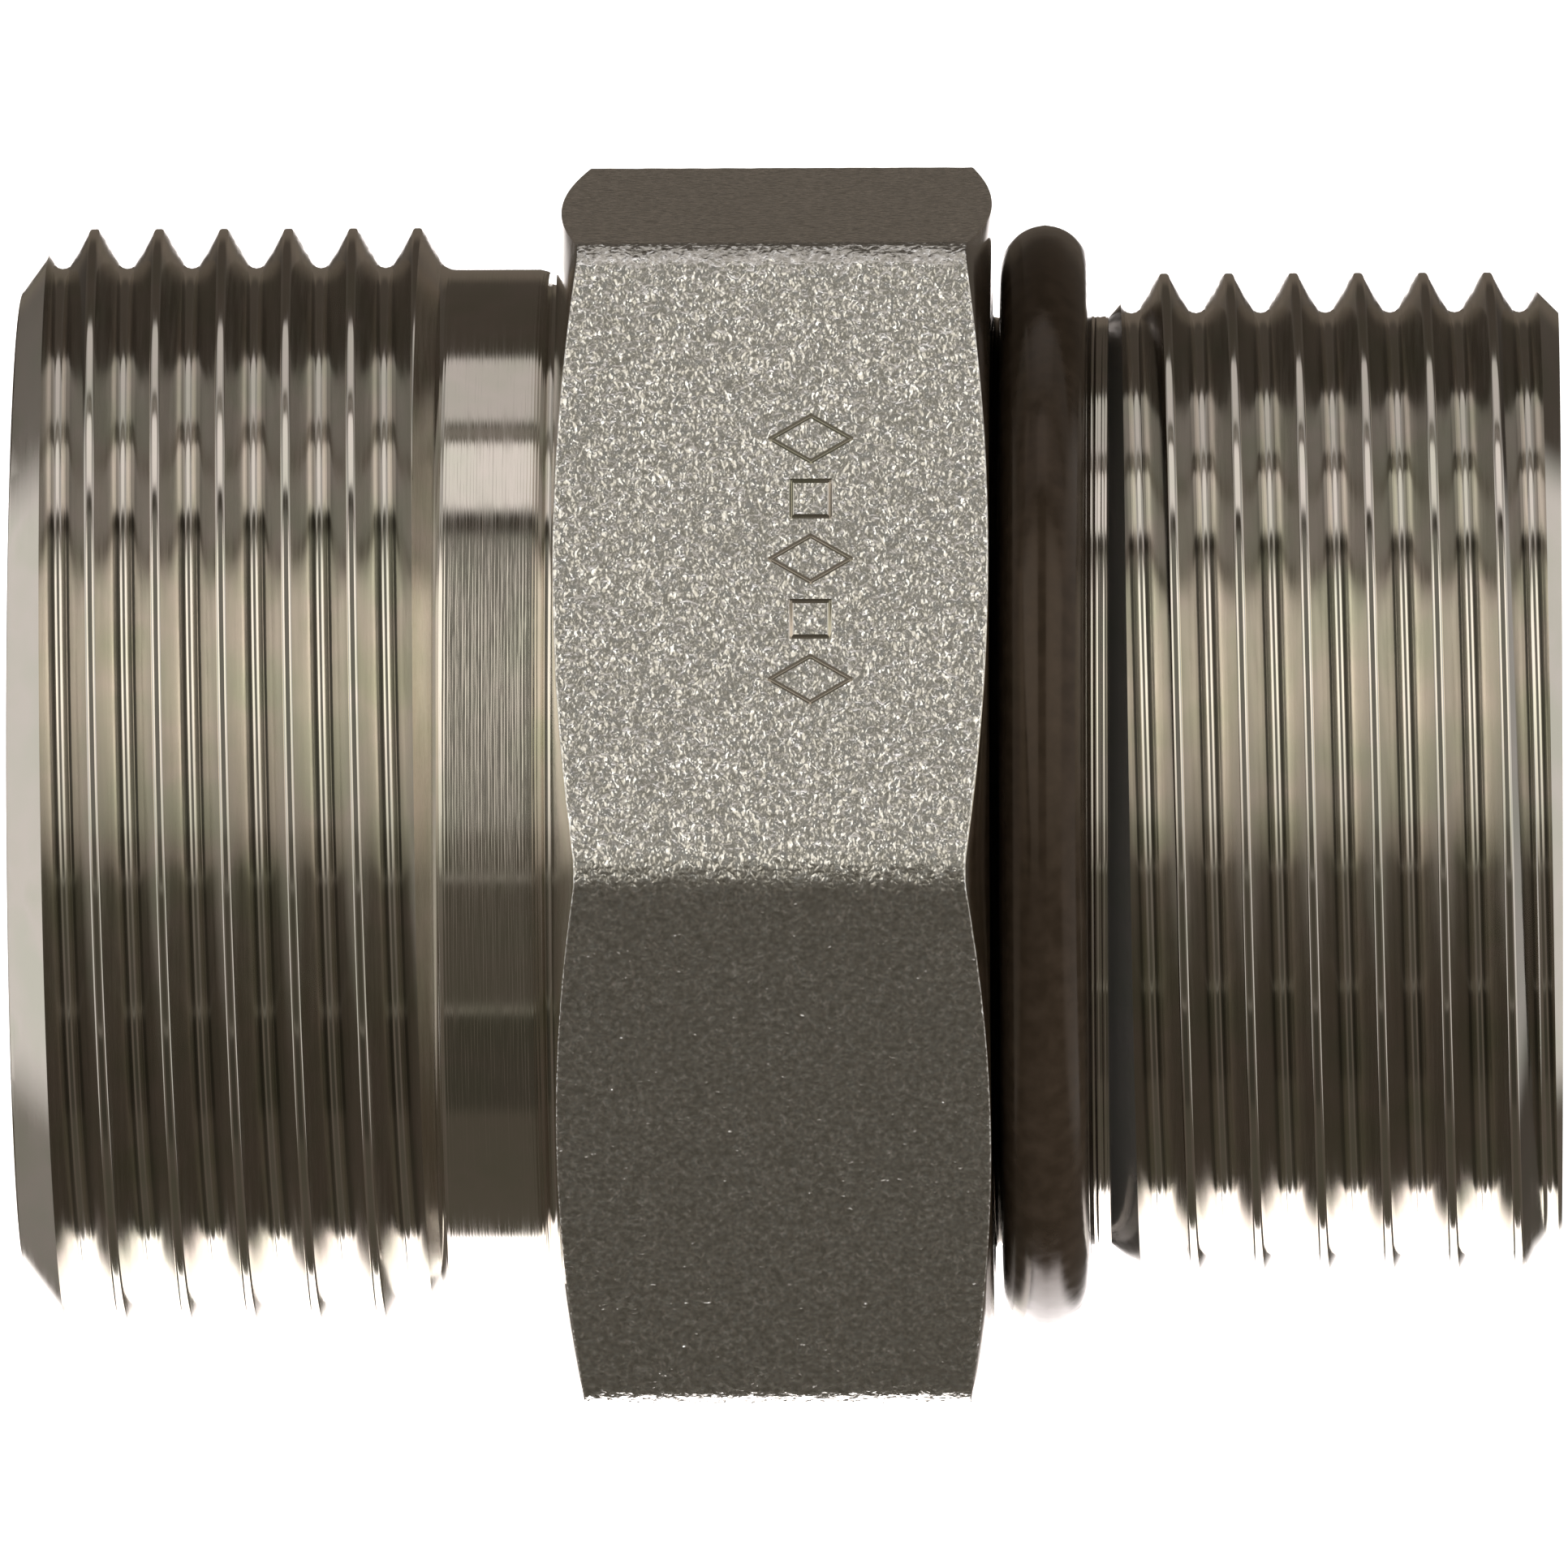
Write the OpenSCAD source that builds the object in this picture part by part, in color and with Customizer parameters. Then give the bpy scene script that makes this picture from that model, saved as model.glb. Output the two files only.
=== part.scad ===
// Straight hydraulic adapter with a hex in the middle: a flat-face-seal male end on one side
// and an O-ring port stud on the other.
// The axis of flow is X. X = 0 is the face of the hex that seats on the port, +X runs into the port,
// and one flat of the hex faces straight down.

/* [Hex] */
// Size across the flats
hex_af = 38.1; // [37.5:0.1:39]
// Width of the hex along the axis
hex_w = 14.1; // [12:0.1:17]
// Distance from the axis to the softened corners
hex_corner_r = 21.75; // [21:0.05:22]
// Slope of the chamfer turned on both ends of the hex
hex_chamfer = 15; // [8:1:30]

/* [Threads] */
// Threads per inch, the same on both ends
threads_per_inch = 12; // [11:1:13]
// Height of the threads from root to crest
thread_depth = 1.3; // [1.1:0.05:1.35]

/* [Face seal end] */
// Major diameter of the face seal thread
face_thread_d = 36.4; // [36:0.1:37]
// Length from the hex to the sealing face
face_end_l = 17.7; // [16.5:0.1:19]
// Diameter of the sealing face at its rim
nose_d = 32.4; // [31.5:0.1:33]
// Slope of the lead-in chamfer, measured from the axis
nose_chamfer = 54; // [40:1:65]
// Diameter of the plain relief behind the thread
relief_d = 33.65; // [33:0.05:33.8]
// Distance from the hex to the middle of the last thread crest
face_last_crest = 4.72; // [4.4:0.02:5.2]
// Width of the narrow corner groove beside the hex
corner_groove_w = 0.36; // [0.2:0.02:0.6]
// Diameter of the corner groove
corner_groove_d = 32.65; // [32:0.05:32.9]

/* [Port stud end] */
// Major diameter of the port thread
port_thread_d = 33.25; // [33:0.05:33.4]
// Length from the hex to the end of the stud
port_end_l = 18.5; // [17.5:0.1:19.5]
// Diameter of the end face, inside its 45 degree chamfer
port_tip_d = 30.8; // [30:0.1:31.2]
// Diameter of the neck that holds the seal
neck_d = 30.6; // [30.2:0.05:30.6]
// Length of the neck
neck_l = 4.27; // [4.1:0.01:4.4]
// Distance from the hex to the middle of the first thread crest
port_first_crest = 5.62; // [5.5:0.02:6]

/* [Flow bore] */
// Diameter of the straight bore
bore_d = 20.5; // [18:0.1:21.5]
// Size of the 45 degree chamfer at both mouths
bore_chamfer = 0.4; // [0.2:0.1:0.6]

/* [Face groove and its seal] */
// Width of the groove in the sealing face
face_groove_w = 2.3; // [2.1:0.05:2.6]
// Depth of the groove
face_groove_depth = 1.66; // [1.5:0.02:1.7]
// Cord diameter of the face seal
face_seal_cord = 1.78; // [1.6:0.01:1.8]
// Inside diameter of the face seal
face_seal_id = 23.52; // [23.4:0.02:23.7]

/* [Stud seal] */
// Cord diameter of the stud seal as stretched over the neck
stud_seal_cord = 2.9; // [2.7:0.01:2.95]
// Distance from the hex to the middle of the seal
stud_seal_x = 1.7; // [1.55:0.05:2]

/* [Hidden] */
$fn = 160;

pitch = 25.4 / threads_per_inch;
flank_angle = 30;
crest_land = pitch / 8;
// A V as wide as the gap between two crests ends this far below them
vee_depth = (pitch - crest_land) / 2 / tan(flank_angle);
root_fillet = vee_depth - thread_depth;

face_r = face_thread_d / 2;
port_r = port_thread_d / 2;
face_x = -hex_w - face_end_l;
face_last_crest_x = -hex_w - face_last_crest;
face_crest_end_x = face_last_crest_x + crest_land / 2;
relief_x = face_crest_end_x + (face_r - relief_d / 2) * tan(flank_angle);
corner_groove_x = -hex_w - corner_groove_w;
nose_chamfer_x = face_x + (face_r - nose_d / 2) / tan(nose_chamfer);

port_root_r = port_r - thread_depth;
port_thread_x = port_first_crest - pitch / 2;
port_chamfer_x = port_end_l - (port_r - port_tip_d / 2);

chamfer_start_r = hex_af / 2 - 0.1;
chamfer_drop = (hex_corner_r - chamfer_start_r) * tan(hex_chamfer);

seal_clearance = 0.02;
stud_seal_r = neck_d / 2 + seal_clearance + stud_seal_cord / 2;
face_seal_r = (face_seal_id + face_seal_cord) / 2;
// Cutters and joined pieces reach this far past each other
lap = 1;

face_gaps = ceil((face_end_l - face_last_crest) / pitch);
port_gaps = ceil((port_end_l - port_first_crest) / pitch) + 1;

// Everything below is drawn upright in (radius, height) with height along the axis of flow
module along_axis() {
    rotate([0, 90, 0]) children();
}

// One gap between two crests, with straight flanks and a round root
module thread_gap(major_r) {
    vee_r = major_r - vee_depth;
    tangent_r = vee_r + 1.5 * root_fillet;
    outer_r = major_r + lap;
    tangent_half = 1.5 * root_fillet * tan(flank_angle);
    outer_half = (outer_r - vee_r) * tan(flank_angle);
    polygon([
        [tangent_r, -tangent_half], [outer_r, -outer_half],
        [outer_r, outer_half], [tangent_r, tangent_half]
    ]);
    // A hair over size, so that the circle crosses the flanks instead of grazing them
    translate([vee_r + 2 * root_fillet, 0]) circle(root_fillet * 1.002);
}

module face_end_profile() {
    difference() {
        polygon([
            [0, face_x], [nose_d / 2, face_x], [face_r, nose_chamfer_x],
            [face_r, face_crest_end_x], [relief_d / 2, relief_x],
            [relief_d / 2, corner_groove_x], [corner_groove_d / 2, corner_groove_x],
            [corner_groove_d / 2, -hex_w + lap], [0, -hex_w + lap]
        ]);
        for (i = [0 : face_gaps - 1])
            translate([0, face_last_crest_x - (i + 0.5) * pitch]) thread_gap(face_r);
    }
}

module port_end_profile() {
    difference() {
        polygon([
            [0, -lap], [neck_d / 2, -lap], [neck_d / 2, neck_l],
            [port_root_r, neck_l], [port_root_r, port_thread_x],
            [port_r, port_thread_x], [port_r, port_chamfer_x],
            [port_tip_d / 2, port_end_l], [0, port_end_l]
        ]);
        for (i = [0 : port_gaps - 1])
            translate([0, port_first_crest + (i - 0.5) * pitch]) thread_gap(port_r);
    }
}

module hex_block() {
    intersection() {
        translate([0, 0, -hex_w]) rotate(30)
            cylinder(r = hex_af / 2 / cos(30), h = hex_w, $fn = 6);
        rotate_extrude() polygon([
            [0, -hex_w], [chamfer_start_r, -hex_w], [hex_corner_r, -hex_w + chamfer_drop],
            [hex_corner_r, -chamfer_drop], [chamfer_start_r, 0], [0, 0]
        ]);
    }
}

module flow_bore() {
    r = bore_d / 2;
    mouth = bore_chamfer + lap;
    translate([0, 0, face_x - lap]) cylinder(r = r, h = port_end_l - face_x + 2 * lap);
    translate([0, 0, face_x - lap]) cylinder(r1 = r + mouth, r2 = r, h = mouth);
    translate([0, 0, port_end_l - bore_chamfer]) cylinder(r1 = r, r2 = r + mouth, h = mouth);
}

module face_groove() {
    rotate_extrude()
        translate([face_seal_r - face_groove_w / 2, face_x - lap])
            square([face_groove_w, face_groove_depth + lap]);
}

// A plain round-section ring about the axis of flow
module o_ring(centre_r, cord, x) {
    translate([0, 0, x]) rotate_extrude() translate([centre_r, 0]) circle(d = cord);
}

module fitting_body() {
    color([0.56, 0.54, 0.48]) along_axis() difference() {
        union() {
            rotate_extrude() face_end_profile();
            hex_block();
            rotate_extrude() port_end_profile();
        }
        flow_bore();
        face_groove();
    }
}

module stud_o_ring() {
    color([0.10, 0.09, 0.08]) along_axis() o_ring(stud_seal_r, stud_seal_cord, stud_seal_x);
}

module face_seal_o_ring() {
    color([0.10, 0.09, 0.08]) along_axis()
        o_ring(face_seal_r, face_seal_cord, face_x + face_groove_depth - face_seal_cord / 2);
}

fitting_body();
stud_o_ring();
face_seal_o_ring();
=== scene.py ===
"""The looks of the hex nipple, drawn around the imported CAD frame. Lengths are in mm until the last step."""

import math

import bmesh
import bpy
import numpy as np
from mathutils import Matrix, Vector


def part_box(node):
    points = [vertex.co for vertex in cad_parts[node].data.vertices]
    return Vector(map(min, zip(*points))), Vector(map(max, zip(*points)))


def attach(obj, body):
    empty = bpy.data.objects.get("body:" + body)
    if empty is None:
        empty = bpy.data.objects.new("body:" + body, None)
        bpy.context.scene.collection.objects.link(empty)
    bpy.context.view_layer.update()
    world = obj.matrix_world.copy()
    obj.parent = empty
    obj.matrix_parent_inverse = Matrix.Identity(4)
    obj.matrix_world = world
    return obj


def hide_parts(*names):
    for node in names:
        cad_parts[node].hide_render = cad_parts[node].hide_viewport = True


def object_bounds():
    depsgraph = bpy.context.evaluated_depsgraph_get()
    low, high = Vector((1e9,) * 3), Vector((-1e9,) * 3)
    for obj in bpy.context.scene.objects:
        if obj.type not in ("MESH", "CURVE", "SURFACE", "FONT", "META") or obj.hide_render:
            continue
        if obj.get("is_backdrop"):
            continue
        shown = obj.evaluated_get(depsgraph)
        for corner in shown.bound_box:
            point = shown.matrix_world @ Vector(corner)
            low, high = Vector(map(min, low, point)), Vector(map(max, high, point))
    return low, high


MM = 0.001

# Threads, the same form on both ends
PITCH = 25.4 / 12
CREST_LAND = PITCH / 8
THREAD_DEPTH = 1.3
FLANK = math.radians(30)
VEE_DEPTH = (PITCH - CREST_LAND) / 2 / math.tan(FLANK)
ROOT_FILLET = VEE_DEPTH - THREAD_DEPTH
CREST_ROUND = 0.12

# Face seal end. Places along the axis are measured from the seat face of the hex
HEX_W = 14.1
FACE_CREST_R = 18.2
FACE_CREST_X = -HEX_W - 4.72
NOSE_R = 16.2
NOSE_SLOPE = math.radians(54)
RIM_ROUND = 0.15
# The first and last rows of the plain sealing face stand this far from its edges
FACE_MARGIN = 0.6
RELIEF_R = 16.825
RELIEF_X = FACE_CREST_X + CREST_LAND / 2 + (FACE_CREST_R - RELIEF_R) * math.tan(FLANK)
FOOT_FILLET = 0.5
# The end of the relief: distance along from where it starts to turn down, and how far it has dropped
SHOULDER = ((0, 0), (0.03, 0.006), (0.26, 0.065), (0.32, 0.11))
SHOULDER_W = 0.36
CORNER_GROOVE_W = 0.36
CORNER_GROOVE_R = 16.325
# Its two rounded corners: distance in from the wall, and height above the floor of the groove
CORNER_GROOVE_FAR = ((0, 0.12), (0.04, 0.03), (0.1, 0))
CORNER_GROOVE_NEAR = ((0.16, 0), (0.05, 0.05), (0, 0.18))
GROOVE_R = (11.5, 13.8)
GROOVE_DEPTH = 1.66
EDGE_BREAK = 0.08

# Hex
CHAMFER_START_R = 18.95
CHAMFER = math.radians(15)
CORNER_SOFTNESS = 0.16
HEX_EDGE_ROUND = 0.07
# The rounded edge where a flat meets the turned chamfer, as shares of its radius: along, then out
HEX_EDGE = ((-0.27, -1), (0, -0.42), (0.42, -0.08), (1, 0))
HEX_ROWS = 44
# The blasted grain at the corners: its depth, how many degrees it reaches, and how far in and out it goes
CORNER_GRAIN = 0.035
CORNER_GRAIN_REACH = 1.6
CORNER_GRAIN_RANGE = (-1, 0.2)

# Port stud end
PORT_CREST_R = 16.625
PORT_CREST_X = 5.62
PORT_TIP_R = 15.32
NECK_R = 15.2
# The rounded foot of the neck beside the hex: distance from the hex, and height above the neck
NECK_FOOT = ((0.0, 0.12), (0.04, 0.03), (0.14, 0))
# A row between the seal and the chamfer on the side of the hex
SEAT_ROW_R = CHAMFER_START_R - 1.2
THREAD_START_X = 3.76
THREAD_START_SLOPE = math.radians(48)
# Saw-tooth turning marks beside the seal: the top of each tooth, and the slope that leads up to it
NECK_TEETH_X = (3.27, 3.43, 3.65)
NECK_TOOTH_W = 0.09
NECK_TOOTH_SLOPE = math.radians(14)
# The first slope starts this far before the top of its tooth, and each other one this far behind a tooth
NECK_TEETH_LEAD = 0.15
NECK_TOOTH_GAP = 0.015
# The nearly flat top of a tooth rises and then falls by these shares of half its width
NECK_TOOTH_RISE, NECK_TOOTH_FALL = 0.15, 0.2
# Rows across the end face of the stud, from its chamfer in to the bore
TIP_ROWS_R = (PORT_TIP_R - 0.4, 13.0)

BORE_R = 10.25
BORE_CHAMFER = 0.4
BORE_MOUTH_R = BORE_R + 1.2
BORE_ROWS = 12

# Seals
STUD_SEAL_R, STUD_SEAL_CORD, STUD_SEAL_X = 16.77, 2.9, 1.7
FACE_SEAL_R, FACE_SEAL_CORD = 12.65, 1.78
MOULD_LINE_W, MOULD_LINE_H = 0.09, 0.018
RING_COLUMNS, CORD_POINTS = 240, 56

# Mesh
COLUMNS = 240
CORNER_FAN = (-2.2, -1.6, -1.15, -0.7, -0.35, 0, 0.35, 0.7, 1.15, 1.6, 2.2)
SMOOTH_ANGLE = math.radians(33)
WELD = 0.0005
SEED = 7

# Finishes of the fitting, in the order of its materials. Three carry painted light in their colour: painted
# shade on the leading flanks and the start cone, and a painted highlight on the trailing flanks
TURNED, BLASTED, COARSE, LEADING, TRAILING, NOSE_CONE, START_CONE = range(7)
# A face of a flat faces outwards at least this much, and the faces of the relief are this close to it
OUTWARD = 0.45
ON_RELIEF = 0.05
# A face lies in a flat when its normal leans less than this along the axis, and in degrees about it
FLAT_LEAN, FLAT_TURN = 0.0005, 0.05

# Turned finish: spacing of the feed marks, depth of the fine rings, and how much deeper the feed marks are
FEED = 0.105
RING_DEPTH = 0.0012
COARSE_FEED = 2.0
# The fine rings: how many to the mm, how little they change around the part, and how they bend the feed marks
RINGS_PER_MM = 9.0
RING_STRETCH = 0.03
FEED_WANDER = 3.0
# Patches of the plating to the mm, and the tints that they go through
FILM_PER_MM = 0.25
ZINC_TINTS = ((0.35, (0.595, 0.588, 0.518)), (0.5, (0.65, 0.608, 0.562)), (0.65, (0.585, 0.577, 0.502)))
# Flanks of the threads lean at least this much, and the cone of the nose less
FLANK_NORMAL_X = 0.84
# The flanks that face away from the hex are smooth, with painted shade that darkens their colour, and those
# that face it rougher, with a painted highlight that lightens their colour
LEADING_PAINTED_SHADE = 0.52
TRAILING_PAINTED_HIGHLIGHT = 1.32
TRAILING_ROUGH = (0.12, 0.22)
# The cones at the nose and at the start of the port thread are duller, and the start cone also has painted
# shade in its colour. How far their faces lean
CONE_NORMAL_X = (0.72, 0.83)
CONE_METAL = 0.85
# Painted shade: the colour of the start cone is darkened by this share, for the narrow gap beside the seal
START_PAINTED_SHADE = 0.55

# Blasted finish: how far its facets lean and how deep its grain is
FACET_TILT = 0.22
GRAIN_DEPTH = 0.1
CURLS_PER_MM, SPECKS_PER_MM, FACETS_PER_MM = 2.9, 4.8, 5.6
# Roughness and tint of the grain, from its dull parts to its bright specks
GRAIN_ROUGH = (0.27, 0.13)
GRAIN_TINTS = ((0.36, (0.54, 0.53, 0.49)), (0.5, (0.67, 0.66, 0.63)),
               (0.58, (0.73, 0.73, 0.71)), (0.68, (0.93, 0.94, 0.94)))

# Rubber of the seals
MOTTLE_PER_MM = 1.6
MOTTLE_DEPTH = 0.01
RUBBER_TINTS = ((0.35, (0.020, 0.014, 0.009)), (0.7, (0.030, 0.021, 0.014)))
RUBBER_ROUGH = (0.12, 0.22)

# Plain marks stamped on the front flat, which faces the camera and slightly up
FRONT_NORMAL = Vector((0, -math.cos(math.radians(30)), math.sin(math.radians(30))))
FRONT_DOWN = Vector((1, 0, 0)).cross(FRONT_NORMAL)
MARK_ROW_X = -5.75
MARK_HALF, MARK_HALF_ALONG = 1.3, 0.8
MARK_SQUARE = 0.62
MARK_W = 0.16
MARK_DEPTH = 0.065
MARK_SPACING = 2.1

# Camera
VIEW_DISTANCE = 1100
VIEW_ELEVATION = math.radians(7.8)
VIEW_AZIMUTH = math.radians(0.95)
VIEW_ROLL = math.radians(-0.315)
VIEW_TARGET = (-6.92, 0, -0.07)
VIEW_WIDTH = 51.4
SENSOR_W = 36


# ---------------------------------------------------------------- mesh helpers


def column_angles():
    """Angles about the axis, from the top towards the front, closer together at the corners of the hex."""
    even = np.linspace(0, 2 * np.pi, COLUMNS + 1)
    corners = np.radians(np.arange(30, 360, 60))
    fans = (corners[:, None] + np.radians(CORNER_FAN)).ravel()
    return np.unique(np.round(np.concatenate([even, fans]), 9))


def arc(centre_x, centre_r, radius, start, stop, count):
    """Points of an arc in the section, with angles in degrees from +X towards +R."""
    a = np.radians(np.linspace(start, stop, count))
    return [(centre_x + radius * math.cos(t), centre_r + radius * math.sin(t)) for t in a]


def mesh_from_rows(name, rows, angles):
    """A closed body from section rows (x, r), each a number or one value per column."""
    x = np.array([np.broadcast_to(row[0], angles.shape) for row in rows], float)
    r = np.array([np.broadcast_to(row[1], angles.shape) for row in rows], float)
    verts = np.stack([x, -r * np.sin(angles), r * np.cos(angles)], axis=-1).reshape(-1, 3) * MM
    n_rows, n_cols = x.shape
    index = np.arange(n_rows * n_cols).reshape(n_rows, n_cols)
    following = np.roll(index, -1, axis=0)
    quads = np.stack([index[:, :-1], index[:, 1:], following[:, 1:], following[:, :-1]], axis=-1)
    mesh = bpy.data.meshes.new(name)
    mesh.from_pydata(verts.tolist(), [], quads.reshape(-1, 4).tolist())
    weld(mesh)
    obj = bpy.data.objects.new(name, mesh)
    bpy.context.scene.collection.objects.link(obj)
    return obj


def weld(mesh):
    """Joins the points that lie on each other and turns all faces outwards."""
    bm = bmesh.new()
    bm.from_mesh(mesh)
    bmesh.ops.remove_doubles(bm, verts=bm.verts, dist=WELD * MM)
    bmesh.ops.recalc_face_normals(bm, faces=bm.faces)
    bm.to_mesh(mesh)
    bm.free()


def smooth(obj):
    """Shades the turned faces smooth and the flats flat, with creases where the mesh turns sharply."""
    mesh = obj.data
    mesh.polygons.foreach_set("use_smooth", [not is_planar(face) for face in mesh.polygons])
    mesh.set_sharp_from_angle(angle=SMOOTH_ANGLE)
    mesh.update()


# ---------------------------------------------------------------- fitting body


def thread_section():
    """Half of one thread: distance along the axis from the crest, and drop below the crest."""
    land = CREST_LAND / 2
    tangent = CREST_ROUND * math.tan(FLANK)
    half = PITCH / 2
    root_centre = VEE_DEPTH - 2 * ROOT_FILLET
    points = [(0, 0)]
    for a in np.radians([0, 20, 40]):
        points.append((land - tangent + CREST_ROUND * math.sin(a), CREST_ROUND * (1 - math.cos(a))))
    foot = (land + tangent * math.sin(FLANK), tangent * math.cos(FLANK))
    root = [(half - ROOT_FILLET * math.sin(a), root_centre + ROOT_FILLET * math.cos(a))
            for a in np.radians([60, 30, 0])]
    points.append(foot)
    points.append(tuple((np.array(foot) + np.array(root[0])) / 2))
    along, drop = np.array(points + root).T
    return along, drop


def thread_radius(x, angles, crest_x, crest_r):
    """Radius of the thread at each x, where its crest moves one pitch along for every turn."""
    along, drop = thread_section()
    shift = PITCH * angles / (2 * np.pi)
    u = np.abs((x - crest_x - shift + PITCH / 2) % PITCH - PITCH / 2)
    return crest_r - np.interp(u, along, drop)


def thread_rows(angles, crest_x, crest_r, start, stop, envelope):
    """The rows of a right-hand thread. A point that the envelope cuts away moves to the nearest crease."""
    along, _ = thread_section()
    offsets = np.concatenate([-along[:0:-1], along[1:-1]])
    first = math.floor((start - crest_x) / PITCH) - 2
    last = math.ceil((stop - crest_x) / PITCH) + 1
    lattice = (crest_x + PITCH * np.arange(first, last + 1)[:, None] + offsets).ravel()
    x = np.clip(lattice[:, None] + PITCH * angles / (2 * np.pi), start, stop)
    over = thread_radius(x, angles, crest_x, crest_r) - envelope(x)
    cut_away = over > 0
    change = over[:-1] - over[1:]
    crease = x[:-1] + over[:-1] / np.where(change == 0, 1, change) * (x[1:] - x[:-1])
    enters = ~cut_away[:-1] & cut_away[1:]
    leaves = cut_away[:-1] & ~cut_away[1:]
    moved = np.zeros_like(leaves)
    moved[1:] = enters[:-1]
    x[1:] = np.where(enters | (leaves & moved), crease, x[1:])
    x[:-1] = np.where(leaves & ~moved, crease, x[:-1])
    r = np.minimum(thread_radius(x, angles, crest_x, crest_r), envelope(x))
    return list(zip(x, r))


def face_rows(face_x):
    """The sealing face, from the bore to the rim, with its seal groove."""
    inner, outer = GROOVE_R
    floor = face_x + GROOVE_DEPTH
    rows = [(face_x + BORE_CHAMFER, BORE_R), (face_x, BORE_R + BORE_CHAMFER)]
    rows += [(face_x, inner - EDGE_BREAK), (face_x + EDGE_BREAK, inner)]
    rows += [(floor - EDGE_BREAK, inner), (floor, inner + EDGE_BREAK)]
    rows += [(floor, outer - EDGE_BREAK), (floor - EDGE_BREAK, outer)]
    rows += [(face_x + EDGE_BREAK, outer), (face_x, outer + EDGE_BREAK)]
    rows += [(face_x, r) for r in np.linspace(outer + FACE_MARGIN, NOSE_R - FACE_MARGIN, 3)]
    return rows


def face_thread_rows(angles, face_x):
    """The lead-in chamfer and the thread, down to the fillet at the foot of its last crest."""
    rim = arc(face_x + RIM_ROUND, NOSE_R - RIM_ROUND * 0.5, RIM_ROUND, 180, 126, 4)
    rim_x, rim_r = rim[-1]
    tangent = FOOT_FILLET * math.tan(FLANK)
    fillet_x = RELIEF_X - tangent * math.sin(FLANK)
    fillet = arc(RELIEF_X + tangent, RELIEF_R + FOOT_FILLET, FOOT_FILLET, 210, 270, 5)

    def envelope(x):
        nose = rim_r + (x - rim_x) * math.tan(NOSE_SLOPE)
        wall = RELIEF_R + (RELIEF_X - x) / math.tan(FLANK)
        return np.minimum(nose, wall)

    rows = rim[:-1]
    rows += thread_rows(angles, FACE_CREST_X, FACE_CREST_R, rim_x, fillet_x, envelope)
    for x, r in fillet:
        rows.append((x, np.minimum(r, thread_radius(x, angles, FACE_CREST_X, FACE_CREST_R))))
    return rows


def relief_rows():
    """The plain relief, the rounded shoulder at its end and the narrow corner groove beside the hex."""
    groove_x = -HEX_W - CORNER_GROOVE_W
    shoulder_x = groove_x - SHOULDER_W
    rows = [(x, RELIEF_R) for x in np.linspace(RELIEF_X + FOOT_FILLET, shoulder_x, 5)]
    rows = rows[:-1] + [(shoulder_x + along, RELIEF_R - drop) for along, drop in SHOULDER]
    rows += [(groove_x + along, CORNER_GROOVE_R + rise) for along, rise in CORNER_GROOVE_FAR]
    rows += [(-HEX_W - along, CORNER_GROOVE_R + rise) for along, rise in CORNER_GROOVE_NEAR]
    return rows


def hex_radius(angles, half_af, corner_r):
    """Distance from the axis to the side of the hex, with softened corners."""
    off_flat = (np.degrees(angles) + 30) % 60 - 30
    flat = half_af / np.cos(np.radians(off_flat))
    blend = np.clip(0.5 + 0.5 * (corner_r - flat) / CORNER_SOFTNESS, 0, 1)
    return corner_r + (flat - corner_r) * blend - CORNER_SOFTNESS * blend * (1 - blend)


def hex_rows(angles, half_af, corner_r):
    """The hex, from one turned chamfer over the flats to the other."""
    side = hex_radius(angles, half_af, corner_r)
    drop = (side - CHAMFER_START_R) * math.tan(CHAMFER)
    left, right = -HEX_W + drop, -drop
    off_corner = np.abs(np.degrees(angles) % 60 - 30)
    grain = CORNER_GRAIN * np.exp(-((off_corner / CORNER_GRAIN_REACH) ** 2))
    rng = np.random.default_rng(SEED)
    e = HEX_EDGE_ROUND
    turned = []
    for share in (0, 0.5):
        r = CHAMFER_START_R + (side - e - CHAMFER_START_R) * share
        turned.append((-HEX_W + (r - CHAMFER_START_R) * math.tan(CHAMFER), r))
    edge = [(e * along, e * out) for along, out in HEX_EDGE]
    rows = list(turned)
    rows += [(left + dx, side + dr) for dx, dr in edge]
    for t in np.linspace(0, 1, HEX_ROWS)[1:-1]:
        bumps = side + grain * rng.uniform(*CORNER_GRAIN_RANGE, angles.shape)
        rows.append((left + e + (right - left - 2 * e) * t, bumps))
    rows += [(right - dx, side + dr) for dx, dr in reversed(edge)]
    rows += [(-HEX_W - x, r) for x, r in reversed(turned)]
    return rows


def port_rows(angles, end_x):
    """The face of the hex beside the seal, the neck, the port thread and the end of the stud."""
    rows = [(0.0, SEAT_ROW_R)] + [(along, NECK_R + rise) for along, rise in NECK_FOOT]
    foot = NECK_TEETH_X[0] - NECK_TEETH_LEAD
    half = NECK_TOOTH_W / 2
    for x in NECK_TEETH_X:
        top = NECK_R + (x - half - foot) * math.tan(NECK_TOOTH_SLOPE)
        rows += [(foot, NECK_R), (x - half, top)]
        rows += [(x, top + half * NECK_TOOTH_RISE), (x + half, top - half * NECK_TOOTH_FALL)]
        foot = x + half + NECK_TOOTH_GAP
    rows.append((foot, NECK_R))

    def envelope(x):
        start = NECK_R + (x - THREAD_START_X) * math.tan(THREAD_START_SLOPE)
        tip = PORT_TIP_R + (end_x - x)
        return np.minimum(start, tip)

    rows += thread_rows(angles, PORT_CREST_X, PORT_CREST_R, THREAD_START_X, end_x, envelope)
    rows += [(end_x, r) for r in (*TIP_ROWS_R, BORE_MOUTH_R)]
    rows += [(end_x, BORE_R + BORE_CHAMFER), (end_x - BORE_CHAMFER, BORE_R)]
    return rows


def bore_rows(face_x, end_x):
    """The straight bore, from the end of the stud back to the sealing face."""
    inside = np.linspace(end_x - BORE_CHAMFER, face_x + BORE_CHAMFER, BORE_ROWS + 2)[1:-1]
    return [(x, BORE_R) for x in inside]


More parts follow.
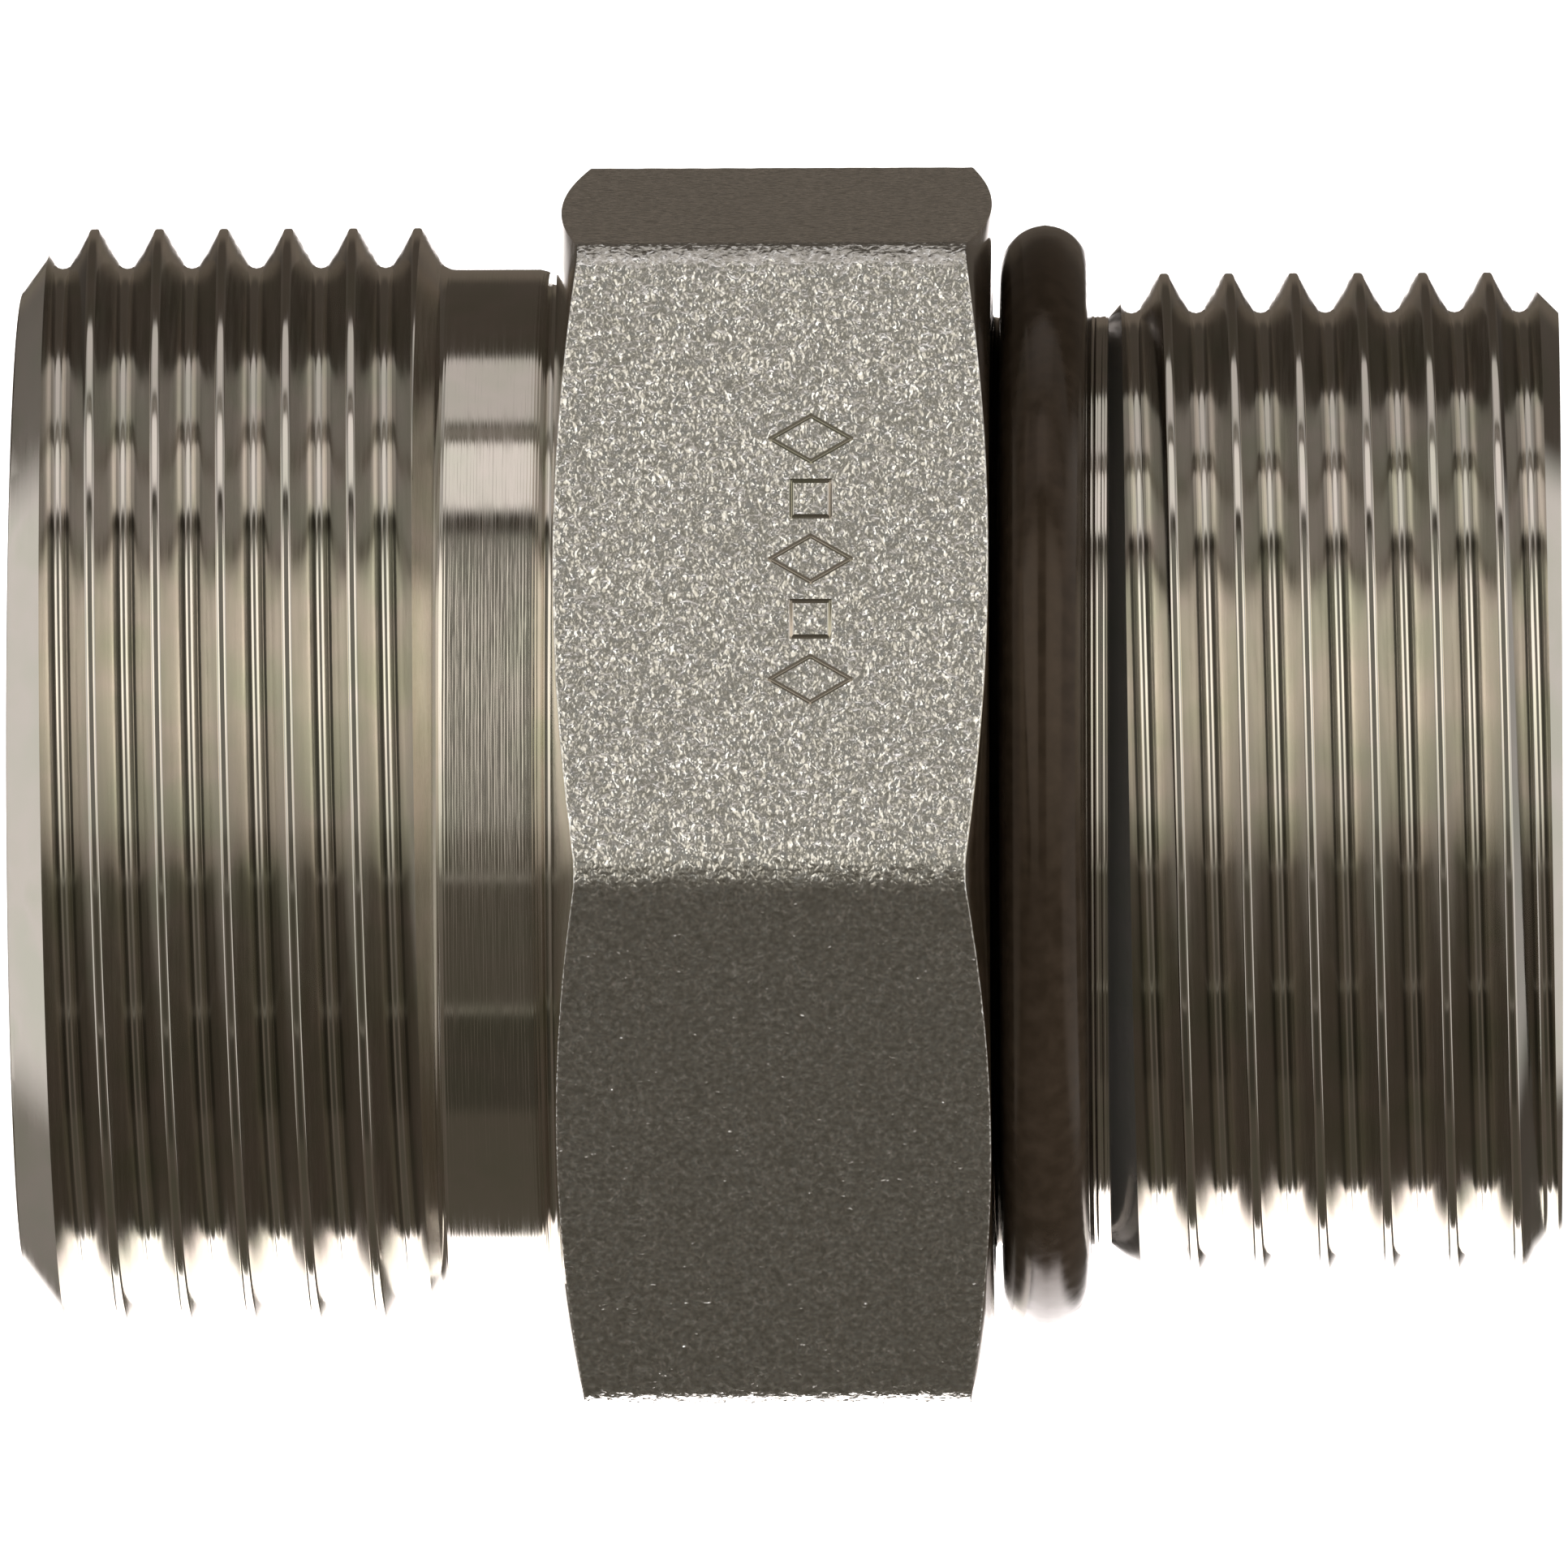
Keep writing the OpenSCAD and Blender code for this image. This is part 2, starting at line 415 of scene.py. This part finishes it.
def fitting_finishes_and_painted_light():
    """The materials of the fitting, in the order that finish_and_painted_light_of counts them."""
    return [
        turned_metal("turned_zinc"),
        blasted_metal(),
        turned_metal("turned_zinc_coarse", feed_depth=COARSE_FEED),
        # Painted shade darkens the colour of the leading flanks, and a painted highlight lightens the
        # trailing flanks
        turned_metal("leading_flank_painted_shade", painted_light=LEADING_PAINTED_SHADE),
        turned_metal("trailing_flank_painted_highlight", painted_light=TRAILING_PAINTED_HIGHLIGHT, rough=TRAILING_ROUGH),
        turned_metal("nose_cone", metal=CONE_METAL),
        # Painted shade darkens the colour of the start cone
        turned_metal("start_cone_painted_shade", painted_light=START_PAINTED_SHADE, metal=CONE_METAL),
    ]


def fitting_body():
    low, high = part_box("fitting_body")
    face_x, end_x = low.x / MM, high.x / MM
    half_af, corner_r = high.z / MM, high.y / MM
    angles = column_angles()
    rows = face_rows(face_x) + face_thread_rows(angles, face_x) + relief_rows()
    rows += hex_rows(angles, half_af, corner_r) + port_rows(angles, end_x) + bore_rows(face_x, end_x)
    obj = mesh_from_rows("fitting_body_look", rows, angles)
    stamp_marks(obj, half_af)
    obj.data.materials.clear()
    for material in fitting_finishes_and_painted_light():
        obj.data.materials.append(material)
    for face in obj.data.polygons:
        face.material_index = finish_and_painted_light_of(face, half_af, face_x)
    smooth(obj)
    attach(obj, "fitting")
    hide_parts("fitting_body")


def is_stamped(centre, half_af):
    """Whether a point of the hex is in a mark, below the front flat."""
    below_flat = half_af - centre.dot(FRONT_NORMAL)
    across, along = abs(centre.x - MARK_ROW_X), abs(centre.dot(FRONT_DOWN))
    in_row = across < MARK_HALF + MARK_W and along < 2 * MARK_SPACING + MARK_HALF_ALONG + MARK_W
    return in_row and MARK_DEPTH / 8 < below_flat < 2 * MARK_DEPTH


def cone_finish_and_painted_shade(x, normal_x, face_x):
    """The finish of a face on the cone of the nose, or the finish with painted shade of a face where the port
    thread starts, or else None.
    """
    # Both cones end where they reach the crests
    nose_end = face_x + (FACE_CREST_R - NOSE_R) / math.tan(NOSE_SLOPE)
    start_end = THREAD_START_X + (PORT_CREST_R - NECK_R) / math.tan(THREAD_START_SLOPE)
    low, high = CONE_NORMAL_X
    if not low < -normal_x < high:
        return None
    if x < nose_end:
        return NOSE_CONE
    return START_CONE if THREAD_START_X < x < start_end else None


def finish_and_painted_light_of(face, half_af, face_x):
    """Which finish a face of the fitting has, from where it lies and how it leans. Some finishes carry
    painted shade or a painted highlight in their colour.
    """
    centre = face.center / MM
    x, out = centre.x, math.hypot(centre.y, centre.z)
    if -HEX_W < x < 0 and out > half_af - 2 * MARK_DEPTH:
        facing = (face.normal.y * centre.y + face.normal.z * centre.z) / out
        return BLASTED if facing > OUTWARD and not is_stamped(centre, half_af) else TURNED
    if RELIEF_X < x < -HEX_W:
        return COARSE if abs(out - RELIEF_R) < ON_RELIEF else TURNED
    cone = cone_finish_and_painted_shade(x, face.normal.x, face_x)
    if cone:
        return cone
    crest = FACE_CREST_R if x < -HEX_W else PORT_CREST_R
    if abs(face.normal.x) < FLANK_NORMAL_X or not crest - THREAD_DEPTH < out < crest:
        return TURNED
    towards_hex = face.normal.x * (1 if x < -HEX_W else -1) > 0
    return TRAILING if towards_hex else LEADING


def is_planar(face):
    """Whether a face lies in one of the six flats, so that it needs no smoothing."""
    around = math.degrees(math.atan2(-face.normal.y, face.normal.z))
    in_line = abs(face.normal.x) < FLAT_LEAN and abs((around + 30) % 60 - 30) < FLAT_TURN
    return in_line and face.material_index == BLASTED


# ---------------------------------------------------------------- stamped marks


def mark_strokes():
    """A plain row of diamonds and squares. The strokes that meet at a corner are in different passes."""
    tall, wide, a = MARK_HALF, MARK_HALF_ALONG, MARK_SQUARE
    diamond = [(-tall, 0), (0, -wide), (tall, 0), (0, wide)]
    square = [(-a, -a), (a, -a), (a, a), (-a, a)]
    passes = ([], [])
    for i, mark in enumerate([diamond, square, diamond, square, diamond]):
        corners = [(across, along + (i - 2) * MARK_SPACING) for across, along in mark]
        for k, stroke in enumerate(zip(corners, corners[1:] + corners[:1])):
            passes[k % 2].append(stroke)
    return passes


def stroke_cutter(start, end, to_flat):
    """A wedge whose lower edge makes one stroke, a little above the flat to a little below it."""
    a, b = Vector((*start, 0)), Vector((*end, 0))
    along = (b - a).normalized()
    a, b = a - along * MARK_W / 2, b + along * MARK_W / 2
    side = Vector((-along.y, along.x, 0)) * MARK_W
    lift = Vector((0, 0, MARK_DEPTH))
    corners = [a - side + lift, a + side + lift, b + side + lift, b - side + lift]
    keel = [a - lift + along * MARK_W / 3, b - lift - along * MARK_W / 3]
    verts = [to_flat @ p * MM for p in corners + keel]
    faces = [(0, 1, 2, 3), (1, 0, 4), (3, 2, 5), (0, 3, 5, 4), (2, 1, 4, 5)]
    return verts, faces


def cut(obj, strokes, to_flat):
    """Takes one pass of strokes out of the body."""
    verts, faces = [], []
    for start, end in strokes:
        new_verts, new_faces = stroke_cutter(start, end, to_flat)
        faces += [tuple(i + len(verts) for i in f) for f in new_faces]
        verts += new_verts
    mesh = bpy.data.meshes.new("marks")
    mesh.from_pydata(verts, [], faces)
    weld(mesh)
    cutter = bpy.data.objects.new("marks", mesh)
    bpy.context.scene.collection.objects.link(cutter)
    boolean = obj.modifiers.new("marks", "BOOLEAN")
    boolean.object, boolean.operation, boolean.solver = cutter, "DIFFERENCE", "MANIFOLD"
    bpy.context.view_layer.update()
    done = bpy.data.meshes.new_from_object(obj.evaluated_get(bpy.context.evaluated_depsgraph_get()))
    obj.modifiers.clear()
    obj.data = done
    bpy.data.objects.remove(cutter)


def stamp_marks(obj, half_af):
    """Cuts the marks into the front flat."""
    axes = Matrix((Vector((1, 0, 0)), FRONT_DOWN, FRONT_NORMAL)).transposed().to_4x4()
    to_flat = Matrix.Translation(FRONT_NORMAL * half_af + Vector((MARK_ROW_X, 0, 0))) @ axes
    for strokes in mark_strokes():
        cut(obj, strokes, to_flat)


# ---------------------------------------------------------------- seals


def o_ring(name, node, body, material, centre_r, cord, x):
    """A moulded ring with the faint line where its mould closed, inside and outside."""
    around = np.linspace(0, 2 * np.pi, RING_COLUMNS + 1)
    rows = []
    for a in np.linspace(0, 2 * np.pi, CORD_POINTS + 1)[:-1]:
        off_line = cord / 2 * abs(math.cos(a))
        line = MOULD_LINE_H * math.exp(-((off_line / MOULD_LINE_W) ** 2))
        radius = cord / 2 - MOULD_LINE_H + line
        rows.append((x + radius * math.cos(a), centre_r + radius * math.sin(a)))
    obj = mesh_from_rows(name, rows, around)
    obj.data.materials.append(material)
    obj.data.polygons.foreach_set("use_smooth", [True] * len(obj.data.polygons))
    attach(obj, body)
    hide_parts(node)


def seals():
    material = rubber()
    o_ring("stud_seal_look", "stud_o_ring", "stud_seal", material, STUD_SEAL_R, STUD_SEAL_CORD, STUD_SEAL_X)
    low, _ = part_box("face_seal_o_ring")
    x = low.x / MM + FACE_SEAL_CORD / 2
    o_ring("face_seal_look", "face_seal_o_ring", "fitting", material, FACE_SEAL_R, FACE_SEAL_CORD, x)


# ---------------------------------------------------------------- materials


class Nodes:
    """Short helpers to build a node tree."""

    def __init__(self, tree):
        self.tree = tree

    def add(self, kind, inputs=(), **settings):
        node = self.tree.nodes.new(kind)
        for key, value in settings.items():
            setattr(node, key, value)
        for key, value in dict(inputs).items():
            if isinstance(value, bpy.types.NodeSocket):
                self.tree.links.new(value, node.inputs[key])
            else:
                node.inputs[key].default_value = value
        return node

    def noise(self, vector, scale, detail, **inputs):
        """The grey of a noise texture. A fourth coordinate, W, gives another pattern at the same scale."""
        values = {"Vector": vector, "Scale": scale, "Detail": detail, **inputs}
        size = "4D" if "W" in inputs else "3D"
        return self.add("ShaderNodeTexNoise", values, noise_dimensions=size).outputs["Fac"]

    def bump(self, height, distance, **inputs):
        values = {"Height": height, "Distance": distance, "Strength": 1.0, **inputs}
        return self.add("ShaderNodeBump", values).outputs["Normal"]

    def math(self, operation, a, b=0.0):
        return self.add("ShaderNodeMath", {0: a, 1: b}, operation=operation).outputs[0]

    def vector(self, operation, a, b=(0, 0, 0), **inputs):
        return self.add("ShaderNodeVectorMath", {0: a, 1: b, **inputs}, operation=operation).outputs[0]

    def feed(self, shader, name, socket):
        self.tree.links.new(socket, shader.inputs[name])

    def mix(self, share, a, b):
        return self.add("ShaderNodeMix", {0: share, 6: a, 7: b}, data_type="RGBA").outputs[2]

    def fade(self, value, start, stop, low=0.0, high=1.0):
        ends = {"Value": value, "From Min": start, "From Max": stop, "To Min": low, "To Max": high}
        return self.add("ShaderNodeMapRange", ends, interpolation_type="SMOOTHSTEP").outputs[0]

    def ramp(self, value, stops):
        node = self.add("ShaderNodeValToRGB", {"Fac": value})
        elements = node.color_ramp.elements
        while len(elements) > 1:
            elements.remove(elements[-1])
        elements[0].position, elements[0].color = stops[0][0], (*stops[0][1], 1)
        for at, colour in stops[1:]:
            elements.new(at).color = (*colour, 1)
        return node.outputs["Color"]


def new_material(name):
    material = bpy.data.materials.new(name)
    material.use_nodes = True
    return material, Nodes(material.node_tree), material.node_tree.nodes["Principled BSDF"]


def turned_metal(name, feed_depth=0.0, painted_light=1.0, rough=(0.06, 0.13), metal=1.0):
    """Zinc-plated steel with the fine rings left by the lathe, and deeper feed marks on a coarse cut. Its
    colour can be scaled down as painted shade or up as painted highlight.
    """
    material, n, shader = new_material(name)
    point = n.add("ShaderNodeTexCoord").outputs["Object"]
    stretch = (1 / MM, RING_STRETCH / MM, RING_STRETCH / MM)
    stretched = n.add("ShaderNodeMapping", {"Vector": point, "Scale": stretch}).outputs[0]
    rings = n.noise(stretched, RINGS_PER_MM, 3.0)
    film = n.noise(point, FILM_PER_MM / MM, 3.0)
    # The tint of the plating, scaled by the painted shade or painted highlight of some faces
    tint_and_painted_light = n.ramp(film, [(at, tuple(c * painted_light for c in colour)) for at, colour in ZINC_TINTS])
    along = n.add("ShaderNodeSeparateXYZ", {0: point}).outputs["X"]
    turns = n.math("MULTIPLY", along, 2 * math.pi / (FEED * MM))
    wave = n.math("SINE", n.math("ADD", turns, n.math("MULTIPLY", rings, FEED_WANDER)))
    height = n.math("ADD", rings, n.math("MULTIPLY", wave, feed_depth))
    n.feed(shader, "Base Color", tint_and_painted_light)
    n.feed(shader, "Roughness", n.fade(rings, 0.3, 0.7, *rough))
    n.feed(shader, "Normal", n.bump(height, RING_DEPTH * MM))
    shader.inputs["Metallic"].default_value = metal
    return material


def blasted_metal():
    """The same plating over the blasted, coarse-grained flats of the hex."""
    material, n, shader = new_material("blasted_zinc")
    point = n.add("ShaderNodeTexCoord").outputs["Object"]
    curls = n.noise(point, CURLS_PER_MM / MM, 1.5, Roughness=0.55)
    specks = n.noise(point, SPECKS_PER_MM / MM, 1.0, W=2.0)
    facets = n.add("ShaderNodeTexVoronoi", {"Vector": point, "Scale": FACETS_PER_MM / MM}).outputs["Color"]
    lean = n.vector("SCALE", n.vector("SUBTRACT", facets, (0.5, 0.5, 0.5)), Scale=FACET_TILT)
    face_normal = n.add("ShaderNodeNewGeometry").outputs["Normal"]
    tilted = n.vector("NORMALIZE", n.vector("ADD", face_normal, lean))
    ridges = n.math("ABSOLUTE", n.math("SUBTRACT", curls, 0.5))
    height = n.math("ADD", ridges, n.math("MULTIPLY", specks, 0.3))
    n.feed(shader, "Base Color", n.ramp(specks, GRAIN_TINTS))
    n.feed(shader, "Roughness", n.fade(specks, 0.5, 0.66, *GRAIN_ROUGH))
    n.feed(shader, "Normal", n.bump(height, GRAIN_DEPTH * MM, Normal=tilted))
    shader.inputs["Metallic"].default_value = 0.98
    return material


def rubber():
    """Dark rubber with the faint mottle of a moulded surface."""
    material, n, shader = new_material("moulded_rubber")
    point = n.add("ShaderNodeTexCoord").outputs["Object"]
    mottle = n.noise(point, MOTTLE_PER_MM / MM, 4.0)
    n.feed(shader, "Base Color", n.ramp(mottle, RUBBER_TINTS))
    n.feed(shader, "Roughness", n.fade(mottle, 0.3, 0.7, *RUBBER_ROUGH))
    n.feed(shader, "Normal", n.bump(mottle, MOTTLE_DEPTH * MM, Strength=0.3))
    shader.inputs["Specular IOR Level"].default_value = 0.3
    shader.inputs["Specular Tint"].default_value = (1.0, 0.82, 0.7, 1)
    return material


# ---------------------------------------------------------------- studio

# The room as bands about the axis of the part. Each row is degrees up from the camera's side, the light
# straight across the axis, and the light well to the left and right of it, where the softboxes stand
TABLE, TABLE_SIDE = (4.2, 3.95, 3.9), (0.14, 0.12, 0.10)
BACK, BACK_SIDE = (0.075, 0.062, 0.05), (0.085, 0.072, 0.06)
CEILING = (0.15, 0.123, 0.097)
SHADE, SHADE_SIDE = (0.062, 0.055, 0.042), (0.13, 0.11, 0.09)
LOW_WALL = (0.090, 0.080, 0.062)
WINDOW = (0.22, 0.21, 0.185)
FRAME, FRAME_SIDE = (0.06, 0.052, 0.042), (0.3, 0.27, 0.24)
LAMP, LAMP_SIDE = (1.05, 0.99, 0.95), (0.55, 0.52, 0.5)
BACK_LAMP, BACK_LAMP_SIDE = (0.68, 0.64, 0.61), (0.42, 0.40, 0.38)
ROOM = [
    (-180, CEILING, BACK_SIDE),
    (-177, BACK, BACK_SIDE),
    (-174, TABLE, TABLE_SIDE),
    (-118, TABLE, TABLE_SIDE),
    (-115, (0.105, 0.093, 0.072), (0.12, 0.10, 0.08)),
    (-73, (0.095, 0.083, 0.064), SHADE_SIDE),
    (-70, SHADE, SHADE_SIDE),
    (-46, SHADE, (0.14, 0.12, 0.095)),
    (-45, (0.22, 0.20, 0.17), (0.2, 0.18, 0.15)),
    (-43, LOW_WALL, TABLE_SIDE),
    (-15, LOW_WALL, (0.2, 0.18, 0.15)),
    (-14, (0.25, 0.23, 0.20), (0.35, 0.33, 0.28)),
    (-12, (0.11, 0.10, 0.08), (0.5, 0.46, 0.40)),
    (-4, (0.12, 0.11, 0.09), (0.8, 0.75, 0.66)),
    (0, (0.20, 0.19, 0.165), (1.0, 0.95, 0.84)),
    (30, WINDOW, (1.7, 1.6, 1.42)),
    (58, WINDOW, (1.6, 1.52, 1.38)),
    (65, WINDOW, (0.9, 0.85, 0.78)),
    (67, FRAME, FRAME_SIDE),
    (71, FRAME, FRAME_SIDE),
    (73, LAMP, LAMP_SIDE),
    (90, LAMP, LAMP_SIDE),
    (91, (0.14, 0.12, 0.10), FRAME_SIDE),
    (94, (0.30, 0.27, 0.24), FRAME_SIDE),
    (96, (0.10, 0.09, 0.07), FRAME_SIDE),
    (98, BACK_LAMP, BACK_LAMP_SIDE),
    (118, BACK_LAMP, BACK_LAMP_SIDE),
    (121, BACK, BACK_SIDE),
    (160, BACK, BACK_SIDE),
    (167, CEILING, BACK_SIDE),
    (180, CEILING, BACK_SIDE),
]
# How far from straight across the axis the softboxes start, and the plain light at both ends of the room
SOFTBOX_START = (0.2, 0.34)
SIDE_START = (0.70, 0.82)
SIDE_LIGHT = (0.84, 0.81, 0.78, 1)
FLOOR_HALF = 2000


def studio():
    """The light of the room. The camera itself sees plain white."""
    world = bpy.data.worlds.new("studio")
    bpy.context.scene.world = world
    world.use_nodes = True
    n = Nodes(world.node_tree)
    sky = world.node_tree.nodes["Background"]
    direction = n.add("ShaderNodeSeparateXYZ", {0: n.add("ShaderNodeTexCoord").outputs["Generated"]}).outputs
    up = n.math("ARCTAN2", direction["Z"], n.math("MULTIPLY", direction["Y"], -1.0))
    turn = n.math("ADD", n.math("DIVIDE", up, 2 * math.pi), 0.5)
    across = n.ramp(turn, [((a + 180) / 360, c) for a, c, _ in ROOM])
    beside = n.ramp(turn, [((a + 180) / 360, c) for a, _, c in ROOM])
    off_axis = n.math("ABSOLUTE", direction["X"])
    room = n.mix(n.fade(off_axis, *SOFTBOX_START), across, beside)
    room = n.mix(n.fade(off_axis, *SIDE_START), room, SIDE_LIGHT)
    seen = n.add("ShaderNodeLightPath").outputs["Is Camera Ray"]
    world.node_tree.links.new(n.mix(seen, room, (1, 1, 1, 1)), sky.inputs["Color"])


def floor():
    """The white table, which glows so that the object casts no dark shadow on it."""
    low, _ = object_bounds()
    half, z = FLOOR_HALF * MM, low[2]
    corners = [(-half, -half, z), (half, -half, z), (half, half, z), (-half, half, z)]
    mesh = bpy.data.meshes.new("floor")
    mesh.from_pydata(corners, [], [(0, 1, 2, 3)])
    obj = bpy.data.objects.new("floor", mesh)
    bpy.context.scene.collection.objects.link(obj)
    material, _, shader = new_material("white_table")
    shader.inputs["Base Color"].default_value = (0.9, 0.9, 0.9, 1)
    shader.inputs["Roughness"].default_value = 0.9
    shader.inputs["Emission Color"].default_value = (1, 1, 1, 1)
    shader.inputs["Emission Strength"].default_value = 1.0
    mesh.materials.append(material)
    obj.visible_glossy = False
    obj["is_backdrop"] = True


def camera():
    """A long lens from the front, a little above the part, as in the photo."""
    data = bpy.data.cameras.new("camera")
    obj = bpy.data.objects.new("camera", data)
    bpy.context.scene.collection.objects.link(obj)
    target = Vector(VIEW_TARGET) * MM
    flat = math.cos(VIEW_ELEVATION)
    away = Vector((math.sin(VIEW_AZIMUTH) * flat, -math.cos(VIEW_AZIMUTH) * flat, math.sin(VIEW_ELEVATION)))
    look = (-away).to_track_quat("-Z", "Y").to_matrix().to_4x4()
    place = Matrix.Translation(target + away * VIEW_DISTANCE * MM)
    obj.matrix_world = place @ look @ Matrix.Rotation(VIEW_ROLL, 4, "Z")
    data.sensor_width = SENSOR_W
    data.lens = SENSOR_W * VIEW_DISTANCE / VIEW_WIDTH
    data.clip_start, data.clip_end = 0.01, 20
    bpy.context.scene.camera = obj


# ---------------------------------------------------------------- build

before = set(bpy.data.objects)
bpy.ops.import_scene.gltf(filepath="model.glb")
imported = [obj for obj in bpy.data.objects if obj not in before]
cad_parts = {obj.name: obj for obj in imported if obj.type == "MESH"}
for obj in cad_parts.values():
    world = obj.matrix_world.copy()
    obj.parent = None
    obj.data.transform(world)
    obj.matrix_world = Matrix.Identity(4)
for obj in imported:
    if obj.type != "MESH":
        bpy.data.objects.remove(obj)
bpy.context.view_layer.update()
fitting_body()
seals()
floor()
studio()
camera()
bpy.context.scene.view_settings.view_transform = "Standard"
